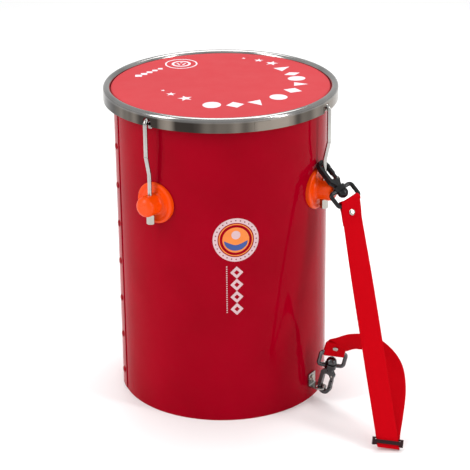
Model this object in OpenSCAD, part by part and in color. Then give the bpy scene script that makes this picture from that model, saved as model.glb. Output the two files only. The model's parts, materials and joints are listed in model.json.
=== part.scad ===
// Hand drum for a child: rolled steel shell, one plastic head under a rolled hoop,
// four hook rods with lug nuts, and a webbing strap on two swivel snap hooks.
// Azimuths are measured from -Y towards +X. The shell stands on z = 0.

/* [Shell] */
// Outer radius of the shell
shell_r = 101.6; // [101:0.1:102.4]
// Height from the floor to the bearing edge
shell_h = 304.8; // [304:0.1:305.4]
// Thickness of the rolled sheet
sheet_t = 1.0; // [0.8:0.1:1.2]
// Height of the folded hem at the open bottom
hem_h = 8; // [6:0.5:10]
// Azimuth of the riveted lap seam
seam_az = -75; // [-80:1:-70]
// Rivets along the lap seam
seam_rivets_n = 7; // [5:1:8]

/* [Head and hoop] */
// Thickness of the head film
film_t = 0.25; // [0.2:0.05:0.3]
// Height of the hoop's crown above the bearing edge
crown_rise = 2.5; // [2.3:0.1:3]
// Outer radius of the hoop skirt above the shell
skirt_gap = 9.8; // [9.7:0.1:10]
// Drop of the hoop's lower edge below the bearing edge
skirt_drop = 10.8; // [10.5:0.1:11]
// Radius of the arch of a hook notch
notch_r = 4.4; // [4:0.1:5]

/* [Tension rods] */
// Azimuth of the front left rod and lug
rod_1_az = -36.5; // [-38:0.5:-35]
// Azimuth of the rod that carries the upper hook
rod_2_az = 61.5; // [61:0.5:62]
// Azimuth of the back right rod and lug
rod_3_az = 150; // [145:1:155]
// Azimuth of the back left rod and lug
rod_4_az = -128; // [-133:1:-123]
// Radius of a rod
rod_r = 2; // [1.9:0.05:2.05]
// Distance of a rod's lower leg from the shell
rod_gap = 8.1; // [8:0.1:8.3]
// Outward step of a rod between its legs
rod_step = 4; // [3.8:0.1:4.2]
// Height of the lug centres
lug_z = 217.5; // [210:0.5:222]
// Radius of a lug's flange
flange_r = 19.75; // [18:0.25:21]
// Radius of a lug's knob
knob_r = 9.75; // [9.5:0.25:10]
// Length of a lug from the shell
knob_reach = 19.4; // [19:0.1:21]
// Height of a tension nut
nut_h = 9; // [8:0.5:10]
// Width of a tension nut across its flats
nut_af = 7; // [6.5:0.1:7.5]

/* [Strap and hooks] */
// Width of the webbing
web_w = 20; // [18:0.5:20.5]
// Thickness of the webbing
web_t = 1.4; // [1.2:0.1:1.6]
// Azimuth of the strap anchor
anchor_az = 57; // [55:0.5:58]
// Height at which the upper hook hangs on its rod
upper_hook_z = 238; // [238:0.5:241]
// Azimuth that the upper hook points to
upper_hook_az = 52; // [51:1:55]
// Tilt of the upper hook below the horizontal
upper_hook_tilt = 42; // [40:1:43]
// Tilt of the lower hook above the horizontal
lower_hook_tilt = 76; // [73:1:78]
// Roll of the upper eye about its hook
upper_eye_roll = 25; // [20:1:30]
// Roll of the lower eye about its hook
lower_eye_roll = -52; // [-56:1:-48]

/* [Hidden] */
$fn = 72;

gap = 0.05;                                 // gap between pieces that touch
reach = 60;                                 // length of a cutter that passes right through
rod_az = [rod_1_az, rod_2_az, rod_3_az, rod_4_az];
inner_r = shell_r - sheet_t;
hem_r = shell_r - 2.1 * sheet_t;            // bore of the folded hem
edge_r = 1.5;                               // radius of the rolled bearing edge
lap_t = 0.8;                                // height of the lap above the shell
lap_angle = 8.5;
rivet_r = 1.6;
rivet_z0 = 18;
rivet_z1 = 253;
screw_r = 2.45;
screw_hole_r = 2.6;

film_z = shell_h + 0.02;
skirt_r = shell_r + skirt_gap;
skirt_t = 0.8;
skirt_z = shell_h - skirt_drop;
lip_r = shell_r + 2.9;                      // inner radius of the hoop's inner leg
clamp_z = shell_h - 2.33;                   // underside of the inner leg
crown_hw = (skirt_r - lip_r) / 2;           // half width of the crown
crown_c = lip_r + crown_hw;
crown_h = 3.6;                              // height of the crown's arch
crown_z = shell_h + crown_rise - crown_h;   // where the crown's arch springs
notch_z = skirt_z + 3.7;
wire_r = 1.15;

leg_r = shell_r + rod_gap;                  // drum radius of a rod's lower leg
top_r = leg_r + rod_step;                   // drum radius of a rod's upper leg
bend_r = 3.9;                               // radius of the hook bend's centre line
bend_z = shell_h - 8.8;
step_z0 = 247;
step_z1 = 265;
nut_top = lug_z - knob_r + 0.45;
rod_end = nut_top - nut_h + 1.5;
tip_z = bend_z - 5;

anchor_t = 1.5;
anchor_hw = 6;                              // half width of the anchor strip
anchor_z = 15;                              // top of its level tab
anchor_top = 27;
anchor_end = shell_r + 17;
anchor_rivet_z = 21.5;
eyelet_r = 3.25;                            // end radius of the oval eyelet
eyelet_c = shell_r + 10.5;
rim_r = shell_r + 15.4;                     // middle of the tab's outer rim

hook_t = 4.5;
slot_r = 3.5;                               // half width of a hook's opening
slot_l = 12.5;
nose_r = 6.7;
spine = 7.3;
gate_side = 7.0;
pivot = [15.6, 5.0];
pin_r = 0.9;
ball_x = 30;
ball_r = 5.2;
neck_r = 2.4;
bar_r = 2;
bar_x = ball_x + 10.5;
arm_y = web_w / 2 + 0.4 + bar_r;

function radial(az) = [sin(az), -cos(az), 0];
function tangent(az) = [cos(az), sin(az), 0];
function polar(r, az, z) = r * radial(az) + [0, 0, z];
function unit(v) = v / norm(v);
function level(v, t) = unit(v - (v * t) * t);    // v made square to the unit vector t
function smooth(x) = x <= 0 ? 0 : x >= 1 ? 1 : x * x * (3 - 2 * x);

// Snap hooks: x runs from the nose to the eye, y across the opening, z through the thickness
upper_axis = cos(upper_hook_tilt) * radial(upper_hook_az) - [0, 0, sin(upper_hook_tilt)];
upper_across = cos(upper_eye_roll) * tangent(upper_hook_az)
    + sin(upper_eye_roll) * cross(upper_axis, tangent(upper_hook_az));
rod_in_slot = hook_t / 2 * tan(upper_hook_tilt) + rod_r / cos(upper_hook_tilt) + 0.6 - slot_r;
upper_at = polar(leg_r, rod_az[1], upper_hook_z) - rod_in_slot * upper_axis;
upper_bar = upper_at + bar_x * upper_axis;

lower_axis = cos(lower_hook_tilt) * radial(anchor_az) + [0, 0, sin(lower_hook_tilt)];
lower_at = polar(rim_r, anchor_az, anchor_z - anchor_t / 2) + 1.5 * lower_axis;
lower_bar = lower_at + bar_x * lower_axis;

// The strap's front run is straight, down to a fold on the floor; the rear run arches back up
fold_r = 1.7;
fold_skew = 16;                             // slant of the fold across the strap
front_end = [152.3, -163.5, 4.8];
front_slant = asin(unit(front_end - upper_bar) * upper_across);
front_start = upper_bar
    + ((bar_r + 0.5) / cos(front_slant) + web_w / 2 * tan(abs(front_slant))) * unit(front_end - upper_bar);
front_dir = unit(front_end - front_start);
front_len = norm(front_end - front_start);
front_across = level([1, 0, 0], front_dir);
front_face = cross(front_dir, front_across);
fold_mid = front_end - fold_r * front_face;
fold_across = front_across + tan(fold_skew) * front_dir;
lower_across = cos(lower_eye_roll) * tangent(anchor_az)
    + sin(lower_eye_roll) * cross(lower_axis, tangent(anchor_az));
rear_face = cross(lower_axis, lower_across);
rear_route = [
    [154.5, -152, 14], [158, -141, 28], [161, -127, 44.5], [159, -114, 60],
    [150, -103, 71], [138, -92, 76], [124, -82, 73], [113, -74, 66], [108, -70.5, 61.5],
];
rear_end = lower_bar + (bar_r + 0.5) * lower_axis;

function front_at(s) = front_start + s * front_dir;
function front_wide(s) =
    let (k = smooth(s / (0.45 * front_len)), slant = tan(fold_skew) * smooth((s - front_len) / 14 + 1))
    level((1 - k) * upper_across + k * front_across, front_dir) + slant * front_dir;
function fold_at(a) = fold_mid + fold_r * (cos(a) * front_face + sin(a) * front_dir);

front_steps = 12;
front_points = [
    for (i = [0 : front_steps]) front_at(front_len * i / front_steps),
    for (a = [30, 60, 80, 86]) fold_at(a),
];
front_wides = [
    for (i = [0 : front_steps]) front_wide(front_len * i / front_steps),
    for (a = [30, 60, 80, 86]) fold_across,
];
rear_points = concat([for (a = [94, 100, 120, 150, 180]) fold_at(a)], rear_route, [rear_end]);
rear_wides = [
    for (i = [0 : len(rear_points) - 1])
    let (
        k = smooth((i - 4) / 6),
        before = rear_points[max(i - 1, 0)],
        after = rear_points[min(i + 1, len(rear_points) - 1)],
        along = unit(after - before)
    )
    i < 5 ? fold_across : cross(level(k * rear_face - (1 - k) * front_face, along), along),
];

upper_rivet_s = 3.2;
lower_rivet_at = rear_route[len(rear_route) - 1];
lower_rivet_dir = unit(rear_end - rear_route[len(rear_route) - 2]);
lower_rivet_across = rear_wides[len(rear_wides) - 2];
strap_rivet_r = 1.5;

slider_t = 1.6;                             // thickness of a slider bar
slider_in = 11.9;                           // half width of its slots
slider_hw = 14.3;
slider_hl = 3.6;                            // half length along the strap
slider_bar = 3.4;
slider_at = front_at(front_len - (slider_hl + 0.5) / cos(fold_skew));

// Local +Z points away from the drum axis at height z
module outward(az, z) rotate([0, 0, az]) translate([0, 0, z]) rotate([90, 0, 0]) children();

// Local x, y and z follow the three unit vectors, from the point p
module frame_at(p, x, y, z)
    multmatrix([
        [x[0], y[0], z[0], p[0]],
        [x[1], y[1], z[1], p[1]],
        [x[2], y[2], z[2], p[2]],
        [0, 0, 0, 1],
    ]) children();

module upper_place() translate(upper_at) rotate([0, upper_hook_tilt, upper_hook_az - 90]) children();
module lower_place() translate(lower_at) rotate([0, -lower_hook_tilt, anchor_az - 90]) children();

// A flat band swept through points, with its width along the vectors in wides
module band(points, wides) {
    n = len(points);
    corners = [
        for (i = [0 : n - 1])
        let (
            along = unit(points[min(i + 1, n - 1)] - points[max(i - 1, 0)]),
            across = wides[i] * web_w / 2,
            face = unit(cross(along, across)) * web_t / 2
        )
        each [
            points[i] + across + face, points[i] - across + face,
            points[i] - across - face, points[i] + across - face,
        ]
    ];
    sides = [
        for (i = [0 : n - 2], k = [0 : 3])
        let (a = 4 * i + k, b = 4 * i + (k + 1) % 4)
        each [[a, b + 4, b], [a, a + 4, b + 4]]
    ];
    last = 4 * (n - 1);
    ends = [[0, 1, 2], [0, 2, 3], [last, last + 2, last + 1], [last, last + 3, last + 2]];
    polyhedron(points = corners, faces = concat(ends, sides));
}

// A domed rivet through a wall from h_in to h_out along local +Z
module rivet(h_in, h_out, shank_r, head_r, head_h, tail_r) {
    rotate_extrude() polygon([
        [0, h_in - 1.4], [tail_r - 0.4, h_in - 1.4], [tail_r, h_in - 1], [tail_r, h_in],
        [shank_r, h_in], [shank_r, h_out], [head_r, h_out], [head_r, h_out + 0.3],
        [0.8 * head_r, h_out + 0.75 * head_h], [0.45 * head_r, h_out + head_h], [0, h_out + head_h],
    ]);
}

module shell_profile() {
    translate([inner_r, 0]) square([sheet_t, shell_h - edge_r]);
    translate([hem_r, 0]) square([shell_r - hem_r, hem_h]);
    translate([shell_r - edge_r, shell_h - edge_r]) circle(r = edge_r);
}

module shell() {
    color("firebrick") difference() {
        union() {
            rotate_extrude() shell_profile();
            rotate([0, 0, seam_az - lap_angle / 2 - 90])
                rotate_extrude(angle = lap_angle)
                    translate([shell_r - 0.3, 1]) square([lap_t + 0.3, shell_h - 6]);
        }
        for (i = [0 : seam_rivets_n - 1])
            outward(seam_az, rivet_height(i)) cylinder(r = rivet_r + gap, h = 2 * reach);
        for (az = rod_az) outward(az, lug_z) cylinder(r = screw_hole_r, h = 2 * reach);
        outward(anchor_az, anchor_rivet_z) cylinder(r = 2 + gap, h = 2 * reach);
    }
}

function rivet_height(i) = rivet_z0 + (rivet_z1 - rivet_z0) * i / (seam_rivets_n - 1);

module seam_rivets() {
    color("maroon") for (i = [0 : seam_rivets_n - 1])
        outward(seam_az, rivet_height(i))
            rivet(inner_r - 0.1, shell_r + lap_t + 0.03, rivet_r, 3.2, 1.3, 2.6);
}

module shell_decal() {
    color("lightpink") intersection() {
        difference() {
            cylinder(r = shell_r + 0.2, h = shell_h);
            cylinder(r = shell_r + gap, h = shell_h);
        }
        outward(7.4, 0) linear_extrude(height = 2 * reach) {
            translate([0, 187]) circle(r = 21.5);
            translate([-7.5, 113]) square([15, 60]);
        }
    }
}

module drum_head() {
    color("indianred") rotate_extrude() polygon([
        [0, film_z], [shell_r + 0.9, film_z], [shell_r + 1.8, film_z - 0.32], [shell_r + 2.15, film_z - 1],
        [shell_r + 2.15, clamp_z - 0.3], [lip_r + 1.7, clamp_z - 0.3], [lip_r + 1.7, clamp_z - 0.3 + film_t],
        [shell_r + 2.15 + film_t, clamp_z - 0.3 + film_t], [shell_r + 2.15 + film_t, film_z - 0.9],
        [shell_r + 2, film_z - 0.1], [shell_r + 1, film_z + film_t], [0, film_z + film_t],
    ]);
}

module flesh_hoop() {
    color("gainsboro") rotate_extrude()
        translate([shell_r + 2.3, clamp_z - 1.55]) square([2.2, 1.2]);
}

// The hoop's section: outer skirt, arched crown and short inner leg, rolled from one strip
module hoop_profile() {
    inner_hw = crown_hw - skirt_t;
    inner_h = crown_h - skirt_t;
    polygon(concat(
        [[skirt_r, skirt_z]],
        [for (a = [0 : 10 : 180]) [crown_c + crown_hw * cos(a), crown_z + crown_h * sin(a)]],
        [[lip_r, clamp_z], [lip_r + skirt_t, clamp_z]],
        [for (a = [180 : -10 : 0]) [crown_c + inner_hw * cos(a), crown_z + inner_h * sin(a)]],
        [[skirt_r - skirt_t, skirt_z]]
    ));
}

module counter_hoop() {
    color("silver") difference() {
        union() {
            rotate_extrude() hoop_profile();
            rotate([0, 0, 16 - 90]) rotate_extrude(angle = 8)
                translate([skirt_r - 0.3, skirt_z + 0.3]) square([0.65, crown_z - 1 - skirt_z]);
        }
        for (az = rod_az) outward(az, notch_z) {
            cylinder(r = notch_r, h = 3 * reach);
            translate([-notch_r, -reach, 0]) cube([2 * notch_r, reach, 3 * reach]);
        }
    }
}

module hoop_wire() {
    color("gray") rotate_extrude()
        translate([skirt_r - skirt_t - wire_r - gap, skirt_z + 1.75]) circle(r = wire_r);
}

// A straight leg of a tension hook at drum radius r, from height z0 to z1
module rod_leg(r, z0, z1) {
    translate([0, -r, z0]) cylinder(r = rod_r, h = z1 - z0);
}

// The slightly swaged knee of a tension hook's outward step
module rod_knee(r, z) {
    translate([0, -r, z]) sphere(r = rod_r + 0.12);
}

module tension_hook(i) {
    rise = step_z1 - step_z0;
    color("lightgray") rotate([0, 0, rod_az[i]]) {
        rod_leg(leg_r, rod_end, step_z0);
        rod_knee(leg_r, step_z0);
        translate([0, -leg_r, step_z0]) rotate([atan(rod_step / rise), 0, 0])
            cylinder(r = rod_r, h = norm([rod_step, rise]));
        rod_knee(top_r, step_z1);
        rod_leg(top_r, step_z1, bend_z);
        translate([0, -top_r + bend_r, bend_z]) rotate([90, 0, 90])
            rotate_extrude(angle = 180) translate([bend_r, 0]) circle(r = rod_r);
        rod_leg(top_r - 2 * bend_r, tip_z, bend_z);
    }
}

module tension_nut(i) {
    corner_r = nut_af / 2 / cos(30);
    color("gainsboro") rotate([0, 0, rod_az[i]]) translate([0, -leg_r, nut_top - gap - nut_h])
        difference() {
            intersection() {
                cylinder(r = corner_r, h = nut_h, $fn = 6);
                rotate_extrude() polygon([
                    [0, 0], [nut_af / 2, 0], [corner_r + 0.1, 0.5],
                    [corner_r + 0.1, nut_h - 0.5], [nut_af / 2, nut_h], [0, nut_h],
                ]);
            }
            translate([0, 0, -1]) cylinder(r = rod_r + gap, h = nut_h + 2);
        }
}

module lug_profile() {
    face = shell_r + 2.2;
    end = shell_r + knob_reach;
    round_r = 5;
    polygon(concat(
        [
            [0, shell_r - 6], [flange_r, shell_r - 6], [flange_r, face - 0.6],
            [flange_r - 0.8, face + 0.4], [flange_r - 2.2, face + 0.6], [flange_r - 4.6, face - 0.1],
            [knob_r + 2, face + 0.2], [knob_r + 0.5, face + 1.4], [knob_r, face + 3],
        ],
        [for (a = [0 : 15 : 90]) [knob_r - round_r + round_r * cos(a), end - round_r + round_r * sin(a)]],
        [[0, end]]
    ));
}

module lug(i) {
    color("darkorange") difference() {
        outward(rod_az[i], lug_z) rotate_extrude() lug_profile();
        cylinder(r = shell_r + gap, h = shell_h);
        outward(rod_az[i], lug_z) cylinder(r = screw_r + gap, h = shell_r + 5.2);
        rotate([0, 0, rod_az[i]]) translate([0, -leg_r, lug_z - 2 * knob_r]) {
            cylinder(r = rod_r + 2 * gap, h = 4 * knob_r);
            cylinder(r = 4.5, h = nut_top - lug_z + 2 * knob_r);
        }
    }
}

module lug_screws() {
    head_z = inner_r - 1.4;
    color("darkgray") for (az = rod_az) outward(az, lug_z) difference() {
        union() {
            translate([0, 0, head_z]) cylinder(r = screw_r, h = shell_r + 4.9 - head_z);
            rotate_extrude() polygon([
                [0, head_z - 3], [3, head_z - 3], [4.2, head_z - 2], [4.5, head_z], [0, head_z],
            ]);
        }
        for (turn = [0, 90]) rotate([0, 0, turn])
            translate([-2, -0.5, head_z - 4]) cube([4, 1, 2.4]);
    }
}

module lug_washers() {
    color("lightgray") for (az = rod_az) outward(az, lug_z)
        translate([0, 0, inner_r - 1.35]) difference() {
            cylinder(r = 5.5, h = 1.1);
            translate([0, 0, -1]) cylinder(r = screw_hole_r, h = 3);
        }
}

module strap_anchor() {
    back = shell_r + 0.1;
    bend = 2.5;
    color("silver") rotate([0, 0, anchor_az]) difference() {
        union() {
            translate([-anchor_hw, -back - anchor_t, anchor_z - anchor_t + bend])
                cube([2 * anchor_hw, anchor_t, anchor_top - anchor_z + anchor_t - bend]);
            translate([0, -back - bend, anchor_z - anchor_t + bend]) rotate([0, 90, 0])
                rotate_extrude(angle = 90)
                    translate([bend - anchor_t, -anchor_hw]) square([anchor_t, 2 * anchor_hw]);
            translate([0, 0, anchor_z - anchor_t]) linear_extrude(height = anchor_t) {
                translate([-anchor_hw, -anchor_end + anchor_hw])
                    square([2 * anchor_hw, anchor_end - anchor_hw - back - bend]);
                translate([0, -anchor_end + anchor_hw]) circle(r = anchor_hw);
            }
        }
        translate([0, 0, anchor_z - reach / 2]) linear_extrude(height = reach) {
            for (x = [-1, 1]) translate([x, -eyelet_c]) circle(r = eyelet_r);
            translate([-1, -eyelet_c - eyelet_r]) square([2, 2 * eyelet_r]);
        }
        translate([0, 0, anchor_rivet_z]) rotate([90, 0, 0]) cylinder(r = 2 + gap, h = 2 * reach);
    }
}

module anchor_rivet() {
    color("gainsboro") outward(anchor_az, anchor_rivet_z)
        rivet(inner_r - 0.1, shell_r + 0.1 + anchor_t + gap, 2, 4, 1.5, 3.4);
}

module snap_hook() {
    color("dimgray") difference() {
        union() {
            linear_extrude(height = hook_t, center = true) difference() {
                union() {
                    circle(r = nose_r);
                    translate([0, -spine]) square([17, spine + gate_side]);
                    polygon([
                        [-0.5, -nose_r + 0.2], [2, -spine], [17, -spine], [20.2, -4.4], [22.8, -3.2],
                        [22.8, 3.2], [20.2, 4.4], [17, gate_side], [2, gate_side], [-0.5, nose_r - 0.2],
                    ]);
                }
                circle(r = slot_r);
                translate([0, -slot_r]) square([slot_l, 2 * slot_r]);
                translate([slot_l, 0]) circle(r = slot_r);
                translate([3.2, slot_r - 0.1]) square([11.3, 5]);
                translate([1.2, slot_r - 0.4]) square([2.2, 2.3]);
            }
            translate([19, 0, 0]) rotate([0, 90, 0]) cylinder(r = neck_r, h = ball_x - 19);
            translate([ball_x, 0, 0]) sphere(r = ball_r);
        }
        translate([pivot[0], pivot[1], 0]) {
            cylinder(r = 2.5, h = 2.7, center = true);
            translate([-5, -2.8, -1.35]) cube([5, 5.3, 2.7]);
            cylinder(r = pin_r + 0.02, h = reach, center = true);
        }
    }
}

module snap_gate() {
    color("gray") difference() {
        union() {
            translate([0, 0, -1.25]) linear_extrude(height = 2.5) {
                translate(pivot) circle(r = 2.2);
                translate([3.5, slot_r + 0.1]) square([pivot[0] - 3.5, 3.2]);
            }
            translate([0, 0, -2]) linear_extrude(height = 4) {
                translate([3.5, slot_r + 0.1]) square([6.5, 3.2]);
                translate([1.5, slot_r + 0.1]) square([2.5, 1.5]);
            }
        }
        translate([pivot[0], pivot[1], 0]) cylinder(r = pin_r + gap, h = reach, center = true);
    }
}

module snap_gate_pin() {
    color("silver") translate([pivot[0], pivot[1], 0]) cylinder(r = pin_r, h = hook_t, center = true);
}

module eye_corner(x, y, turn) {
    translate([x, y, 0]) rotate([0, 0, turn])
        rotate_extrude(angle = 90) translate([3, 0]) circle(r = bar_r);
}

module swivel_eye() {
    top_x = ball_x - 4;
    color("dimgray") difference() {
        union() {
            translate([ball_x - 6.7, 0, 0]) rotate([0, 90, 0]) cylinder(r = 5.9, h = 4.9);
            for (side = [-1, 1]) {
                translate([top_x, side * (arm_y - 3) / 2, 0]) rotate([90, 0, 0])
                    cylinder(r = bar_r, h = arm_y - 3, center = true);
                translate([top_x + 3, side * arm_y, 0]) rotate([0, 90, 0])
                    cylinder(r = bar_r, h = bar_x - top_x - 6);
            }
            eye_corner(top_x + 3, arm_y - 3, 90);
            eye_corner(top_x + 3, 3 - arm_y, 180);
            eye_corner(bar_x - 3, arm_y - 3, 0);
            eye_corner(bar_x - 3, 3 - arm_y, 270);
            translate([bar_x, 0, 0]) rotate([90, 0, 0])
                cylinder(r = bar_r, h = 2 * arm_y - 6, center = true);
        }
        translate([ball_x, 0, 0]) sphere(r = ball_r + gap);
        translate([ball_x - 10, 0, 0]) rotate([0, 90, 0]) cylinder(r = neck_r + 0.2, h = 10);
    }
}

module strap_front() {
    color("red") difference() {
        band(front_points, front_wides);
        translate(front_at(upper_rivet_s)) upper_rivet_turn()
            cylinder(r = strap_rivet_r + 0.2, h = 8, center = true);
    }
}

module upper_rivet_turn() {
    across = front_wide(upper_rivet_s);
    frame_at([0, 0, 0], across, cross(cross(front_dir, across), across), cross(front_dir, across)) children();
}

module lower_rivet_turn() {
    across = level(lower_rivet_across, lower_rivet_dir);
    frame_at([0, 0, 0], across, cross(cross(lower_rivet_dir, across), across), cross(lower_rivet_dir, across))
        children();
}

module strap_rear() {
    color("red") difference() {
        band(rear_points, rear_wides);
        translate(lower_rivet_at) lower_rivet_turn()
            cylinder(r = strap_rivet_r + 0.2, h = 8, center = true);
    }
}

module strap_rivet() {
    half = web_t + 0.35;
    color("lightgray") rivet(-half, half, strap_rivet_r, 3.1, 1.2, 2.7);
}

module slider() {
    color("black") frame_at(slider_at, front_across, -front_dir, front_face) rotate([0, 0, -fold_skew]) {
        for (side = [-1, 1]) {
            translate([side * (slider_in + slider_hw) / 2, 0, 0])
                cube([slider_hw - slider_in, 2 * slider_hl, 2 * slider_t + web_t + 0.6], center = true);
            translate([0, side * (slider_hl - 0.8), -(web_t + slider_t) / 2 - 0.3])
                cube([2 * slider_in + 1, 1.6, slider_t], center = true);
        }
        translate([0, 0, (web_t + slider_t) / 2 + 0.3])
            cube([2 * slider_in + 1, slider_bar, slider_t], center = true);
    }
}

shell();
seam_rivets();
shell_decal();
drum_head();
flesh_hoop();
counter_hoop();
hoop_wire();
tension_hook(0);  // tension_hook_1
tension_hook(1);  // tension_hook_2
tension_hook(2);  // tension_hook_3
tension_hook(3);  // tension_hook_4
tension_nut(0);  // tension_nut_1
tension_nut(1);  // tension_nut_2
tension_nut(2);  // tension_nut_3
tension_nut(3);  // tension_nut_4
lug(0);  // lug_1
lug(1);  // lug_2
lug(2);  // lug_3
lug(3);  // lug_4
lug_screws();
lug_washers();
strap_anchor();
anchor_rivet();
upper_place() snap_hook();  // upper_hook
upper_place() snap_gate();  // upper_gate
upper_place() snap_gate_pin();  // upper_gate_pin
upper_place() rotate([upper_eye_roll, 0, 0]) swivel_eye();  // upper_eye
translate(front_at(upper_rivet_s)) upper_rivet_turn() strap_rivet();  // upper_strap_rivet
lower_place() rotate([-90, 0, 0]) snap_hook();  // lower_hook
lower_place() rotate([-90, 0, 0]) snap_gate();  // lower_gate
lower_place() rotate([-90, 0, 0]) snap_gate_pin();  // lower_gate_pin
lower_place() rotate([lower_eye_roll, 0, 0]) swivel_eye();  // lower_eye
translate(lower_rivet_at) lower_rivet_turn() strap_rivet();  // lower_strap_rivet
strap_front();
strap_rear();
slider();
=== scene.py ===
import json
import math

import bpy
import numpy as np
from mathutils import Matrix, Vector


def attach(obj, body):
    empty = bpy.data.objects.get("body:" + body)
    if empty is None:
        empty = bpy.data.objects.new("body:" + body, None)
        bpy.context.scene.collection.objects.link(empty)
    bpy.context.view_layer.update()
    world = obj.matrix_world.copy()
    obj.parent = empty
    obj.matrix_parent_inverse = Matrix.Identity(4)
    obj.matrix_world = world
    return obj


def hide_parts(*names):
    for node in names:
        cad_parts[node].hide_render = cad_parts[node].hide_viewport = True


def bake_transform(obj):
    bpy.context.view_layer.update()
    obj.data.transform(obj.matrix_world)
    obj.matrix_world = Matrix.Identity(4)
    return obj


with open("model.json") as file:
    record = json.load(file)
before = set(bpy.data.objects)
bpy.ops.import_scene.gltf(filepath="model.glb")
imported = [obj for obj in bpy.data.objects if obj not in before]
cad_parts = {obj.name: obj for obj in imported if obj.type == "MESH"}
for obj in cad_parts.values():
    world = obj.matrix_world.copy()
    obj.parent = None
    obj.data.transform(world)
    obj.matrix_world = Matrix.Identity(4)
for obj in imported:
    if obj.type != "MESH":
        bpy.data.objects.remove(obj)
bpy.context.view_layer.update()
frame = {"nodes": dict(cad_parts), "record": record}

MM = 0.001
TAU = 2 * math.pi

# Drum, in millimetres. Azimuths are measured from -Y towards +X.
SHELL_R = 101.6
SKIRT_Z = 294.0
HEAD_Z = 305.12
FILM_T = 0.24
PRINT_Z = HEAD_Z + 0.04
ROD_AZ = (-36.5, 61.5, 150, -128)
ROD_R = 2.0
LEG_R = 109.7
NUT_TOP = 208.2

# Strap, in millimetres
WEB_W = 20.0
WEB_T = 1.4
BAR_R = 2.0
BAR_FROM_BALL = 10.5
UPPER_AZ, UPPER_ROLL = 52, 25
LOWER_AZ, LOWER_ROLL = 57, -52
FRONT_END = Vector((152.3, -163.5, 5.4))
FOLD_R = 1.7
FOLD_SLANT = math.tan(math.radians(16))
REAR_ROUTE = (
    (154.5, -152, 14), (158, -141, 28), (161, -127, 44.5), (159, -114, 60),
    (150, -103, 71), (138, -92, 76), (124, -82, 73), (113, -74, 66), (108, -70.5, 61.5),
)


# ---------------------------------------------------------------- vectors

def radial(az):
    return Vector((math.sin(math.radians(az)), -math.cos(math.radians(az)), 0))


def tangent(az):
    return Vector((math.cos(math.radians(az)), math.sin(math.radians(az)), 0))


def polar(r, az, z):
    return radial(az) * r + Vector((0, 0, z))


def level(v, along):
    """v made square to the direction along, as a unit vector."""
    along = along.normalized()
    return (v - along * v.dot(along)).normalized()


def smooth_step(x):
    x = min(max(x, 0.0), 1.0)
    return x * x * (3 - 2 * x)


# ---------------------------------------------------------------- meshes

def mesh_object(name, verts, faces, material, body=None, smooth=True, uvs=None):
    """A mesh from points in millimetres. uvs holds one (u, v) per point."""
    mesh = bpy.data.meshes.new(name)
    mesh.from_pydata([tuple(Vector(v) * MM) for v in verts], [], faces)
    mesh.materials.append(material)
    if uvs is not None:
        layer = mesh.uv_layers.new(name="UVMap")
        for loop in mesh.loops:
            layer.data[loop.index].uv = uvs[loop.vertex_index]
    mesh.polygons.foreach_set("use_smooth", [smooth] * len(mesh.polygons))
    mesh.validate()
    mesh.update()
    obj = bpy.data.objects.new(name, mesh)
    bpy.context.scene.collection.objects.link(obj)
    if body:
        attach(obj, body)
    return obj


def grid_faces(rows, columns, closed=False):
    """Faces of a grid of points stored row by row. closed joins the last column to the first."""
    last = columns if closed else columns - 1
    return [
        (
            i * columns + j,
            i * columns + (j + 1) % columns,
            (i + 1) * columns + (j + 1) % columns,
            (i + 1) * columns + j,
        )
        for i in range(rows - 1)
        for j in range(last)
    ]


def arc_points(radius, count, centre=(0, 0)):
    """A full circle as count (x, y) points."""
    return [
        (centre[0] + radius * math.cos(TAU * k / count), centre[1] + radius * math.sin(TAU * k / count))
        for k in range(count)
    ]


def lathe(name, profile, material, steps):
    """A profile of (radius, height) points turned about the drum's axis."""
    verts = [(x, y, z) for r, z in profile for x, y in arc_points(r, steps)]
    return mesh_object(name, verts, grid_faces(len(profile), steps, True), material)


def tube(name, points, radius, material, body, sides=16):
    """A round bar along points, closed at both ends."""
    verts = []
    side = None
    for i, p in enumerate(points):
        along = (points[min(i + 1, len(points) - 1)] - points[max(i - 1, 0)]).normalized()
        if side is None:
            side = along.orthogonal().normalized()
        side = level(side, along)
        up = along.cross(side)
        for k in range(sides):
            a = TAU * k / sides
            verts.append(p + (side * math.cos(a) + up * math.sin(a)) * radius)
    faces = grid_faces(len(points), sides, True)
    faces.append(tuple(reversed(range(sides))))
    faces.append(tuple(range((len(points) - 1) * sides, len(points) * sides)))
    return mesh_object(name, verts, faces, material, body)


def catmull(points, per_span):
    """A smooth curve through points, with per_span pieces between each two."""
    pts = [points[0] * 2 - points[1]] + list(points) + [points[-1] * 2 - points[-2]]
    out = []
    for i in range(1, len(pts) - 2):
        a, b, c, d = pts[i - 1:i + 3]
        for k in range(per_span):
            t = k / per_span
            out.append(
                (b * 2 + (c - a) * t + (a * 2 - b * 5 + c * 4 - d) * t * t
                 + (b * 3 - a - c * 3 + d) * t * t * t) * 0.5
            )
    out.append(pts[-2].copy())
    return out


# ---------------------------------------------------------------- materials

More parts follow.
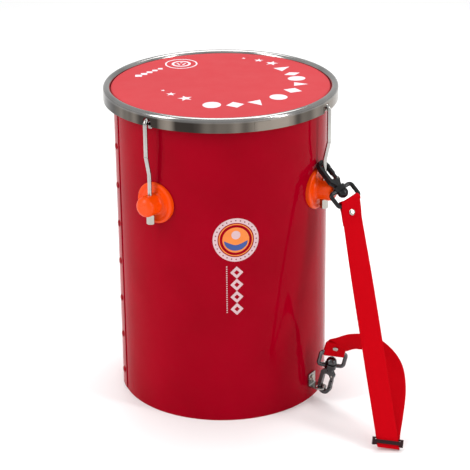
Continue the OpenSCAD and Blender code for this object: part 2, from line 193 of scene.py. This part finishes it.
class Nodes:
    """A short way to build a material's node tree."""

    def __init__(self, name):
        self.material = bpy.data.materials.new(name)
        self.material.use_nodes = True
        self.tree = self.material.node_tree
        self.shader = self.tree.nodes["Principled BSDF"]

    def add(self, kind, **inputs):
        node = self.tree.nodes.new(kind)
        for key, value in inputs.items():
            node.inputs[key.replace("_", " ")].default_value = value
        return node

    def link(self, source, target):
        self.tree.links.new(source, target)

    def set(self, **inputs):
        for key, value in inputs.items():
            self.shader.inputs[key.replace("_", " ")].default_value = value

    def coordinates(self, scale=(1, 1, 1), kind="Object"):
        texture = self.add("ShaderNodeTexCoord")
        mapping = self.add("ShaderNodeMapping", Scale=scale)
        self.link(texture.outputs[kind], mapping.inputs["Vector"])
        return mapping.outputs["Vector"]

    def noise(self, vector, scale, detail=3.0, roughness=0.5):
        node = self.add("ShaderNodeTexNoise", Scale=scale, Detail=detail, Roughness=roughness)
        self.link(vector, node.inputs["Vector"])
        return node.outputs["Fac"]

    def ramp(self, value, low, high, stops=(0.3, 0.7)):
        node = self.add("ShaderNodeValToRGB")
        node.color_ramp.elements[0].position = stops[0]
        node.color_ramp.elements[0].color = low
        node.color_ramp.elements[1].position = stops[1]
        node.color_ramp.elements[1].color = high
        self.link(value, node.inputs["Fac"])
        return node.outputs["Color"]

    def spread(self, value, low, high):
        node = self.add("ShaderNodeMapRange")
        node.inputs["To Min"].default_value = low
        node.inputs["To Max"].default_value = high
        self.link(value, node.inputs["Value"])
        return node.outputs["Result"]

    def bump(self, value, strength, distance=0.0005):
        node = self.add("ShaderNodeBump", Strength=strength, Distance=distance)
        self.link(value, node.inputs["Height"])
        self.link(node.outputs["Normal"], self.shader.inputs["Normal"])


def enamel(name, low, high, rough, peel, gloss):
    """Glossy paint or lacquer with a faint orange peel."""
    n = Nodes(name)
    where = n.coordinates()
    n.link(n.ramp(n.noise(where, 22), low, high), n.shader.inputs["Base Color"])
    n.link(n.spread(n.noise(where, 160, 2), rough * 0.8, rough * 1.5), n.shader.inputs["Roughness"])
    n.bump(n.noise(where, 900, 2), peel, 0.0002)
    n.set(Specular_IOR_Level=gloss)
    return n.material


def metal(name, low, high, rough, grain, scale, strength):
    """Bare or plated metal with fine scratches that follow grain."""
    n = Nodes(name)
    where = n.coordinates(grain)
    streak = n.noise(where, scale, 4, 0.65)
    n.link(n.ramp(n.noise(n.coordinates(), 40), low, high), n.shader.inputs["Base Color"])
    n.link(n.spread(streak, rough * 0.6, rough * 1.6), n.shader.inputs["Roughness"])
    n.bump(streak, strength, 0.0001)
    n.set(Metallic=1.0)
    return n.material


def polished_hoop(name):
    """Rolled stainless with painted light: the crown is painted bright as a painted highlight, and the skirt
    is painted with broad darker bands as painted reflections.
    """
    n = Nodes(name)
    split = n.add("ShaderNodeSeparateXYZ")
    n.link(n.coordinates(), split.inputs["Vector"])
    # Above this height the hoop gets the crown's lighter colour: a painted highlight where the crown faces
    # the top light.
    height = n.add("ShaderNodeMapRange")
    height.inputs["From Min"].default_value = (SKIRT_Z + 8.5) * MM
    height.inputs["From Max"].default_value = (SKIRT_Z + 11.5) * MM
    n.link(split.outputs["Z"], height.inputs["Value"])
    # Broad dark and light bands round the hoop are painted reflections. On the skirt they run nearly black,
    # and on the crown they stay light.
    painted_reflection_bands = n.noise(n.coordinates((1, 1, 0.02)), 26, 2, 0.6)
    skirt_painted_reflections = n.ramp(painted_reflection_bands, (0.03, 0.025, 0.022, 1), (0.23, 0.2, 0.17, 1), (0.42, 0.58))
    crown_painted_highlight = n.ramp(painted_reflection_bands, (0.24, 0.235, 0.23, 1), (0.36, 0.355, 0.345, 1))
    mix = n.add("ShaderNodeMix")
    mix.data_type = "RGBA"
    n.link(height.outputs["Result"], mix.inputs["Factor"])
    colours = [socket for socket in mix.inputs if socket.type == "RGBA"]
    n.link(skirt_painted_reflections, colours[0])
    n.link(crown_painted_highlight, colours[1])
    colour = [socket for socket in mix.outputs if socket.type == "RGBA"][0]
    n.link(colour, n.shader.inputs["Base Color"])
    streak = n.noise(n.coordinates((1, 1, 30)), 90, 4, 0.65)
    n.link(n.spread(streak, 0.1, 0.24), n.shader.inputs["Roughness"])
    n.bump(streak, 0.05, 0.0001)
    n.set(Metallic=1.0)
    return n.material


def film(name):
    """The head's printed plastic film: satin, with a barely pebbled face."""
    n = Nodes(name)
    where = n.coordinates()
    n.link(
        n.ramp(n.noise(where, 9), (0.43, 0.021, 0.029, 1), (0.46, 0.025, 0.033, 1)),
        n.shader.inputs["Base Color"],
    )
    n.link(n.spread(n.noise(where, 60), 0.38, 0.52), n.shader.inputs["Roughness"])
    n.bump(n.noise(where, 1500, 2), 0.12, 0.0001)
    n.set(Specular_IOR_Level=0.15)
    return n.material


def vinyl(name, colour, rough=0.3):
    """Printed vinyl with a slightly uneven face."""
    n = Nodes(name)
    where = n.coordinates()
    dim = tuple(c * 0.9 for c in colour[:3]) + (1,)
    n.link(n.ramp(n.noise(where, 120), dim, colour), n.shader.inputs["Base Color"])
    n.link(n.spread(n.noise(where, 500), rough * 0.8, rough * 1.2), n.shader.inputs["Roughness"])
    n.bump(n.noise(where, 2000, 2), 0.05, 0.0001)
    return n.material


def webbing(name):
    """Woven polyester tape. UV is in millimetres: u across the tape, v along it."""
    n = Nodes(name)
    uv = n.coordinates(kind="UV")
    split = n.add("ShaderNodeSeparateXYZ")
    n.link(uv, split.inputs["Vector"])

    def calc(kind, a, b=None):
        node = n.add("ShaderNodeMath")
        node.operation = kind
        for socket, value in zip(node.inputs, (a, b)):
            if value is None:
                continue
            if isinstance(value, (int, float)):
                socket.default_value = value
            else:
                n.link(value, socket)
        return node.outputs["Value"]

    across = split.outputs["X"]
    along = split.outputs["Y"]
    zigzag = calc("PINGPONG", across, 2.5)
    weft = calc("SINE", calc("MULTIPLY", calc("ADD", along, zigzag), TAU / 1.15))
    warp = calc("SINE", calc("MULTIPLY", across, TAU / 0.8))
    height = calc("ADD", calc("MULTIPLY", weft, 0.6), calc("MULTIPLY", warp, 0.4))
    fibre = n.noise(n.coordinates(), 2600, 3)
    cloth = calc("ADD", height, calc("MULTIPLY", fibre, 0.6))
    n.link(
        n.ramp(n.spread(cloth, 0.25, 0.75), (0.34, 0.0, 0.002, 1), (0.6, 0.0, 0.006, 1), (0.1, 0.75)),
        n.shader.inputs["Base Color"],
    )
    n.bump(cloth, 0.5, 0.0003)
    n.set(Roughness=0.8, Specular_IOR_Level=0.04)
    return n.material


RED = enamel("red_enamel", (0.26, 0.0, 0.007, 1), (0.3, 0.0, 0.009, 1), 0.06, 0.015, 0.03)
RED_DARK = enamel("red_rivet_paint", (0.2, 0.0, 0.005, 1), (0.27, 0.0, 0.006, 1), 0.2, 0.08, 0.2)
ORANGE = enamel("orange_enamel", (0.74, 0.05, 0.0, 1), (0.8, 0.065, 0.0, 1), 0.26, 0.1, 0.2)
STAINLESS = polished_hoop("stainless")
ZINC = metal("zinc_steel", (0.3, 0.29, 0.28, 1), (0.46, 0.45, 0.43, 1), 0.16, (1, 1, 0.2), 700, 0.08)
NICKEL = metal("nickel", (0.36, 0.34, 0.3, 1), (0.5, 0.48, 0.44, 1), 0.17, (1, 1, 3), 500, 0.06)
ALUMINIUM = metal("aluminium", (0.7, 0.7, 0.71, 1), (0.8, 0.8, 0.8, 1), 0.3, (1, 1, 12), 200, 0.08)
BLACK = enamel("black_metal", (0.006, 0.006, 0.007, 1), (0.016, 0.016, 0.017, 1), 0.17, 0.12, 0.25)
GUNMETAL = metal("gunmetal", (0.05, 0.05, 0.052, 1), (0.13, 0.13, 0.135, 1), 0.2, (1, 1, 1), 500, 0.12)
BLACK_PLASTIC = enamel(
    "black_plastic", (0.012, 0.002, 0.003, 1), (0.022, 0.005, 0.006, 1), 0.28, 0.15, 0.25
)
FILM = film("red_film")
WHITE_PRINT = vinyl("white_print", (0.7, 0.62, 0.66, 1), 0.45)
PALE_PRINT = vinyl("pale_print", (0.62, 0.42, 0.44, 1), 0.3)
ORANGE_PRINT = vinyl("orange_print", (0.78, 0.2, 0.02, 1), 0.3)
BLUE_PRINT = vinyl("blue_print", (0.02, 0.06, 0.26, 1), 0.3)
DARK_PRINT = vinyl("dark_print", (0.16, 0.012, 0.016, 1), 0.3)
TAPE = webbing("red_webbing")

SLOTS = {
    "red_enamel": RED,
    "orange_enamel": ORANGE,
    "stainless": STAINLESS,
    "zinc_steel": ZINC,
    "nickel": NICKEL,
    "aluminium": ALUMINIUM,
    "black_metal": BLACK,
    "black_plastic": BLACK_PLASTIC,
    "red_film": FILM,
    "pale_vinyl": PALE_PRINT,
    "red_webbing": TAPE,
}
OWN_LOOK = {"seam_rivets": RED_DARK, "lower_hook": GUNMETAL, "lower_gate": GUNMETAL, "lower_eye": GUNMETAL}


def finish_frame():
    """Gives every CAD node the material of its slot."""
    for entry in frame["record"]["subparts"]:
        node = frame["nodes"][entry["node"]]
        material = OWN_LOOK.get(entry["node"], SLOTS[entry["material_slot"]])
        node.data.materials.clear()
        node.data.materials.append(material)


# ---------------------------------------------------------------- head and its print

def drum_skin():
    """The film: flat to the bearing edge, then down over it and out under the hoop's lip."""
    flat = [(r, HEAD_Z) for r in np.linspace(0.4, SHELL_R - 0.2, 30)]
    edge = [
        (102.3, HEAD_Z - 0.03), (103.0, HEAD_Z - 0.14), (103.6, HEAD_Z - 0.42), (103.95, HEAD_Z - 0.9),
        (104.12, HEAD_Z - 1.5), (104.12, HEAD_Z - 2.6), (106.1, HEAD_Z - 2.68),
    ]
    top = flat + edge
    under = [(r, z - FILM_T) for r, z in reversed(top)]
    skin = lathe("head_film", top + under, FILM, 288)
    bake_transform(skin)
    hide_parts("drum_head")


def print_on_head(name, outline):
    """A flat printed shape on the head, from its outline in millimetres."""
    verts = [(x, y, PRINT_Z) for x, y in outline]
    mesh_object(name, verts, [tuple(range(len(outline)))], WHITE_PRINT, "drum", False)


def star(name, r, az, size):
    """A plain five-pointed star, with its first point turned to its own azimuth."""
    centre = radial(az) * r
    outline = []
    for k in range(10):
        a = math.radians(az) + TAU * k / 10
        s = size if k % 2 == 0 else size * 0.42
        outline.append((centre.x + s * math.cos(a), centre.y + s * math.sin(a)))
    print_on_head(name, outline)


def head_shape(name, r, az, across, depth, sides):
    """A plain regular shape in the head's band, across wide along the band and depth deep."""
    outwards, along = radial(az), tangent(az)
    outline = []
    for x, y in arc_points(0.5, sides):
        p = outwards * (r + depth * x) + along * across * y
        outline.append((p.x, p.y))
    print_on_head(name, outline)


def head_print():
    """Stars at both ends of a band of bold plain shapes, and a ring motif near the far edge."""
    for k, (r, az, size) in enumerate(((87, 165, 2.4), (85, 154, 5.0), (83, 143, 6.8))):
        star(f"head_star_far_{k + 1}", r, az, size)
    for k, (r, az, size) in enumerate(((57, -71, 2.4), (55, -57, 5.0), (54, -37, 7.4))):
        star(f"head_star_near_{k + 1}", r, az, size)
    disc = 40
    shapes = (
        (76, 129, 15, 20, 3), (75, 114, 11, 17, 4), (74, 102, 14, 17, disc),
        (74, 88, 13, 18, 3), (71, 72, 15, 18, 4), (68, 52, 16, 17, disc),
        (66, 30, 16, 20, 3), (65, 12, 17, 17, 4), (64, -7, 17, 18, disc),
    )
    for k, (r, az, across, depth, sides) in enumerate(shapes):
        head_shape(f"head_shape_{k + 1}", r, az, across, depth, sides)
    centre = (-39.0, 67.0)
    motif_ring(centre, 16.0, 14.4)
    motif_ring(centre, 9.5, 7.0)
    for k in range(5):
        a = math.radians(18) + TAU * k / 5
        dot = (centre[0] + 3.6 * math.cos(a), centre[1] + 3.6 * math.sin(a))
        print_on_head(f"head_motif_dot_{k + 1}", arc_points(1.3, 20, dot))
    for k in range(5):
        motif_block(f"head_motif_block_{k + 1}", (-59 - 5.0 * k, 51 - 5.6 * k), 4.6 + 0.5 * k, 3)


def motif_ring(centre, outer, inner):
    steps = 64
    verts = [(x, y, PRINT_Z) for r in (outer, inner) for x, y in arc_points(r, steps, centre)]
    mesh_object(f"head_motif_ring_{outer:.0f}", verts, grid_faces(2, steps, True), WHITE_PRINT, "drum", False)


def motif_block(name, centre, size, turn):
    """A square turned by turn degrees."""
    c, s = math.cos(math.radians(turn)) * size / 2, math.sin(math.radians(turn)) * size / 2
    corners = ((-1, -1), (1, -1), (1, 1), (-1, 1))
    print_on_head(name, [(centre[0] + x * c - y * s, centre[1] + x * s + y * c) for x, y in corners])


# ---------------------------------------------------------------- print on the shell

DECAL_AZ = 7.4
DECAL_Z = 187.0
DECAL_LIFT = 0.16
OVERPRINT_LIFT = 0.22


def on_shell(x, z, lift):
    """The point on the shell x millimetres round from the decal's middle and z above its centre."""
    az = DECAL_AZ + math.degrees(x / SHELL_R)
    return polar(SHELL_R + lift, az, DECAL_Z + z)


def shell_fan(name, outline, material, lift):
    """A filled convex shape on the shell, as a fan of small triangles that follow its curve."""
    cx = sum(p[0] for p in outline) / len(outline)
    cz = sum(p[1] for p in outline) / len(outline)
    rings = 6
    verts = [on_shell(cx, cz, lift)]
    count = len(outline)
    for ring in range(1, rings + 1):
        t = ring / rings
        verts += [on_shell(cx + (x - cx) * t, cz + (z - cz) * t, lift) for x, z in outline]
    faces = [(0, 1 + k, 1 + (k + 1) % count) for k in range(count)]
    for ring in range(rings - 1):
        a, b = 1 + ring * count, 1 + (ring + 1) * count
        faces += [(a + k, b + k, b + (k + 1) % count, a + (k + 1) % count) for k in range(count)]
    return mesh_object(name, verts, faces, material, "drum")


def shell_ring(name, outer, inner, material, lift):
    steps = 72
    verts = [on_shell(x, z, lift) for r in (outer, inner) for x, z in arc_points(r, steps)]
    return mesh_object(name, verts, grid_faces(2, steps, True), material, "drum")


def subdivided(corners, per_side):
    """An outline with each side cut into per_side pieces."""
    out = []
    for k, (x, z) in enumerate(corners):
        nx, nz = corners[(k + 1) % len(corners)]
        out += [(x + (nx - x) * i / per_side, z + (nz - z) * i / per_side) for i in range(per_side)]
    return out


def shell_print():
    """A ring motif over a column of pale diamonds, all plain shapes."""
    ring = shell_ring("decal_ring", 21.5, 17.0, PALE_PRINT, DECAL_LIFT)
    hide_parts("shell_decal")
    shell_ring("decal_ring_line", 16.0, 15.0, ORANGE_PRINT, DECAL_LIFT)
    disc = arc_points(12.5, 40)
    shell_fan("decal_disc", disc, ORANGE_PRINT, DECAL_LIFT)
    below = [math.pi + math.pi * k / 20 for k in range(21)]
    bowl = [(11 * math.cos(a), -1 + 9.5 * math.sin(a)) for a in below]
    shell_fan("decal_bowl", bowl, BLUE_PRINT, OVERPRINT_LIFT)
    spot = arc_points(4.2, 24, (0, 5))
    shell_fan("decal_spot", spot, PALE_PRINT, OVERPRINT_LIFT)
    for k, centre in enumerate(arc_points(19.2, 28), 1):
        shell_fan(f"decal_ring_dot_{k}", arc_points(0.7, 8, centre), DARK_PRINT, OVERPRINT_LIFT)
    for k in range(4):
        z = -32.5 - 12.4 * k
        block = [(0.5, z + 6.2), (6.6, z), (0.5, z - 6.2), (-5.6, z)]
        shell_fan(f"decal_block_{k + 1}", subdivided(block, 8), PALE_PRINT, DECAL_LIFT)
        inner = [(0.5, z + 2.6), (3.1, z), (0.5, z - 2.6), (-2.1, z)]
        shell_fan(f"decal_block_gap_{k + 1}", subdivided(inner, 3), RED, OVERPRINT_LIFT)
    for k in range(22):
        tick_z = -26.0 - 2.2 * k
        tick = [(-9.4, tick_z), (-8.2, tick_z + 0.1), (-8.2, tick_z - 1.0), (-9.4, tick_z - 1.1)]
        shell_fan(f"decal_tick_{k + 1}", tick, PALE_PRINT, DECAL_LIFT)


# ---------------------------------------------------------------- hardware details

def rod_threads():
    """Rolled threads on the lower end of each rod, where the nut runs."""
    pitch = 0.8
    per_turn = 20
    low, high = NUT_TOP - 7.3, NUT_TOP - 1.3
    crest = ROD_R * 0.99
    helix = [
        Vector((crest * math.cos(TAU * k / per_turn), crest * math.sin(TAU * k / per_turn),
                low + pitch * k / per_turn))
        for k in range(int((high - low) / pitch * per_turn) + 1)
    ]
    for i, az in enumerate(ROD_AZ, 1):
        tube(f"rod_thread_{i}", [radial(az) * LEG_R + p for p in helix], 0.05, ZINC, "hoop", 6)


# ---------------------------------------------------------------- strap

def swivel(name):
    """Centre of a snap hook's ball, in millimetres, and the direction from its nose to its eye."""
    joint = [j for j in frame["record"]["behaviour"]["joints"] if j["name"] == name][0]
    return Vector(joint["pos_m"]) / MM, Vector(joint["axis"]).normalized()


def eye_bar(name, az, roll):
    """Middle of an eye's strap bar, the direction of the bar, and the hook's direction."""
    ball, axis = swivel(name)
    side = tangent(az)
    roll = math.radians(roll)
    return ball + axis * BAR_FROM_BALL, side * math.cos(roll) + axis.cross(side) * math.sin(roll), axis


def tape_mesh(name, points, wides, slants, start_v=0.0):
    """Webbing through points: a flat band with rounded selvedges. Slants push its right side forward."""
    half, t = WEB_W / 2, WEB_T / 2
    section = [
        (-half + 0.7, t), (-half * 0.5, t), (0, t), (half * 0.5, t), (half - 0.7, t),
        (half - 0.2, t * 0.7), (half, 0), (half - 0.2, -t * 0.7),
        (half - 0.7, -t), (half * 0.5, -t), (0, -t), (-half * 0.5, -t), (-half + 0.7, -t),
        (-half + 0.2, -t * 0.7), (-half, 0), (-half + 0.2, t * 0.7),
    ]
    verts, uvs = [], []
    v = start_v
    for i, p in enumerate(points):
        along = points[min(i + 1, len(points) - 1)] - points[max(i - 1, 0)]
        across = level(wides[i], along)
        face = along.normalized().cross(across)
        if i:
            v += (p - points[i - 1]).length
        for x, h in section:
            verts.append(p + (across + slants[i]) * x + face * h)
            uvs.append((x + half, v))
    faces = grid_faces(len(points), len(section), True)
    faces.append(tuple(reversed(range(len(section)))))
    faces.append(tuple(range((len(points) - 1) * len(section), len(points) * len(section))))
    obj = mesh_object(name, verts, faces, TAPE, "drum", True, uvs)
    return obj


def loop_round(bar, leave, across, tail):
    """Points from tail millimetres out along leave, back to a bar, round it, and away on its near side."""
    across = across.normalized()
    away = leave.normalized()
    face = away.cross(across).normalized()
    reach = BAR_R + WEB_T / 2 + 0.15
    points = [bar - face * (WEB_T / 2 + 0.75) + away * s for s in np.linspace(tail, 7, 8)]
    for a in np.linspace(-80, -260, 13):
        r = math.radians(a)
        points.append(bar + (face * math.sin(r) + away * math.cos(r)) * reach)
    return points, face


def strap():
    """Both runs of the webbing, each from its loop on an eye to the fold at the floor."""
    upper_bar, upper_across, _ = eye_bar("swivel_upper", UPPER_AZ, UPPER_ROLL)
    lower_bar, lower_across, lower_axis = eye_bar("swivel_lower", LOWER_AZ, LOWER_ROLL)
    front_dir = (FRONT_END - upper_bar).normalized()
    front_start = upper_bar + front_dir * (BAR_R + 0.5)
    length = (FRONT_END - front_start).length
    front_across = level(Vector((1, 0, 0)), front_dir)
    front_face = front_dir.cross(front_across)
    fold_mid = FRONT_END - front_face * FOLD_R

    def fold_at(degrees):
        a = math.radians(degrees)
        return fold_mid + (front_face * math.cos(a) + front_dir * math.sin(a)) * FOLD_R

    def wide(s):
        k = smooth_step(s / (0.45 * length))
        return level(upper_across * (1 - k) + front_across * k, front_dir)

    # Front run, from the loop on the upper eye to the fold
    points, face = loop_round(upper_bar, front_dir, upper_across, 22)
    wides = [upper_across] * len(points)
    slants = [Vector()] * len(points)
    slant = front_dir * FOLD_SLANT
    steps = 90
    clear_of_bar = 6
    for i in range(steps + 1):
        s = clear_of_bar + (length - clear_of_bar) * i / steps
        over_tail = face * 1.45 * smooth_step((14 - s) / 9)
        bow = front_face * 0.54 * math.sin(math.pi * i / steps)
        points.append(front_start + front_dir * s + over_tail - bow)
        wides.append(wide(s))
        slants.append(slant * smooth_step((s - length) / 14 + 1))
    turn = (12, 24, 36, 48, 60, 72, 84, 90)
    points += [fold_at(a) for a in turn]
    wides += [front_across] * len(turn)
    slants += [slant] * len(turn)
    front = tape_mesh("strap_front_webbing", points, wides, slants)
    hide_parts("strap_front")

    # Rear run, from the fold to the loop on the lower eye
    points = [fold_at(a) for a in (90, 96, 108, 120, 132, 144, 156, 168)]
    wides = [front_across] * len(points)
    slants = [slant] * len(points)
    into = (Vector(REAR_ROUTE[-1]) - lower_bar).normalized()
    loop, face = loop_round(lower_bar, into, lower_across, 13)
    route = [fold_at(180)] + [Vector(p) for p in REAR_ROUTE[:-1]] + [lower_bar + into * 8 + face]
    per_span = 8
    run = catmull(route, per_span)
    rear_face = lower_axis.cross(lower_across)
    for i, p in enumerate(run):
        along = (run[min(i + 1, len(run) - 1)] - run[max(i - 1, 0)]).normalized()
        k = smooth_step(i / (6 * per_span))
        wides.append(level(rear_face * k - front_face * (1 - k), along).cross(along))
        slants.append(slant * (1 - smooth_step(i / per_span)))
    points += run + loop[::-1]
    wides += [-lower_across] * len(loop)
    slants += [Vector()] * len(loop)
    rear = tape_mesh("strap_rear_webbing", points, wides, slants, start_v=240)
    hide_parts("strap_rear")


# ---------------------------------------------------------------- studio

def studio():
    """A white floor, an even white surround and three softboxes."""
    floor_mat = Nodes("floor_sweep")
    floor_mat.set(Base_Color=(0.9, 0.9, 0.9, 1), Roughness=0.6, Specular_IOR_Level=0.2)
    size = 4000
    corners = ((-1, -1), (1, -1), (1, 1), (-1, 1))
    verts = [(x * size, y * size, -0.02) for x, y in corners]
    floor = mesh_object("floor", verts, [(0, 1, 2, 3)], floor_mat.material, None, False)

    world = bpy.data.worlds.new("studio")
    bpy.context.scene.world = world
    world.use_nodes = True
    world.node_tree.nodes["Background"].inputs["Color"].default_value = (1, 1, 1, 1)
    world.node_tree.nodes["Background"].inputs["Strength"].default_value = 0.75

    softbox("key_left", (-1.3, -0.7, 1.1), (0, 0, 0.2), 0.5, 1.3, 16)
    softbox("fill_right", (1.25, -0.75, 0.9), (0, 0, 0.2), 0.22, 1.2, 10)
    softbox("top", (0.1, 0.5, 1.7), (0, 0, 0.2), 1.2, 1.0, 18)


def softbox(name, at, to, width, height, power):
    light = bpy.data.lights.new(name, "AREA")
    light.shape = "RECTANGLE"
    light.size = width
    light.size_y = height
    light.energy = power
    obj = bpy.data.objects.new(name, light)
    obj.location = at
    obj.rotation_euler = (Vector(to) - Vector(at)).to_track_quat("-Z", "Y").to_euler()
    bpy.context.scene.collection.objects.link(obj)


def camera():
    """The photo's camera, solved from the outlines of hoop, head and base: 17.4 degrees above the head."""
    data = bpy.data.cameras.new("camera")
    data.lens = 129.82
    data.sensor_width = 36
    obj = bpy.data.objects.new("camera", data)
    obj.location = (0.01228, -1.53624, 0.78671)
    tilt = Matrix.Rotation(math.radians(67.4975), 3, "X")
    roll = Matrix.Rotation(math.radians(-0.5225), 3, "Z")
    obj.rotation_euler = (tilt @ roll).to_euler()
    bpy.context.scene.collection.objects.link(obj)
    bpy.context.scene.camera = obj


finish_frame()
drum_skin()
head_print()
shell_print()
rod_threads()
strap()
studio()
camera()
bpy.context.scene.view_settings.view_transform = "Standard"
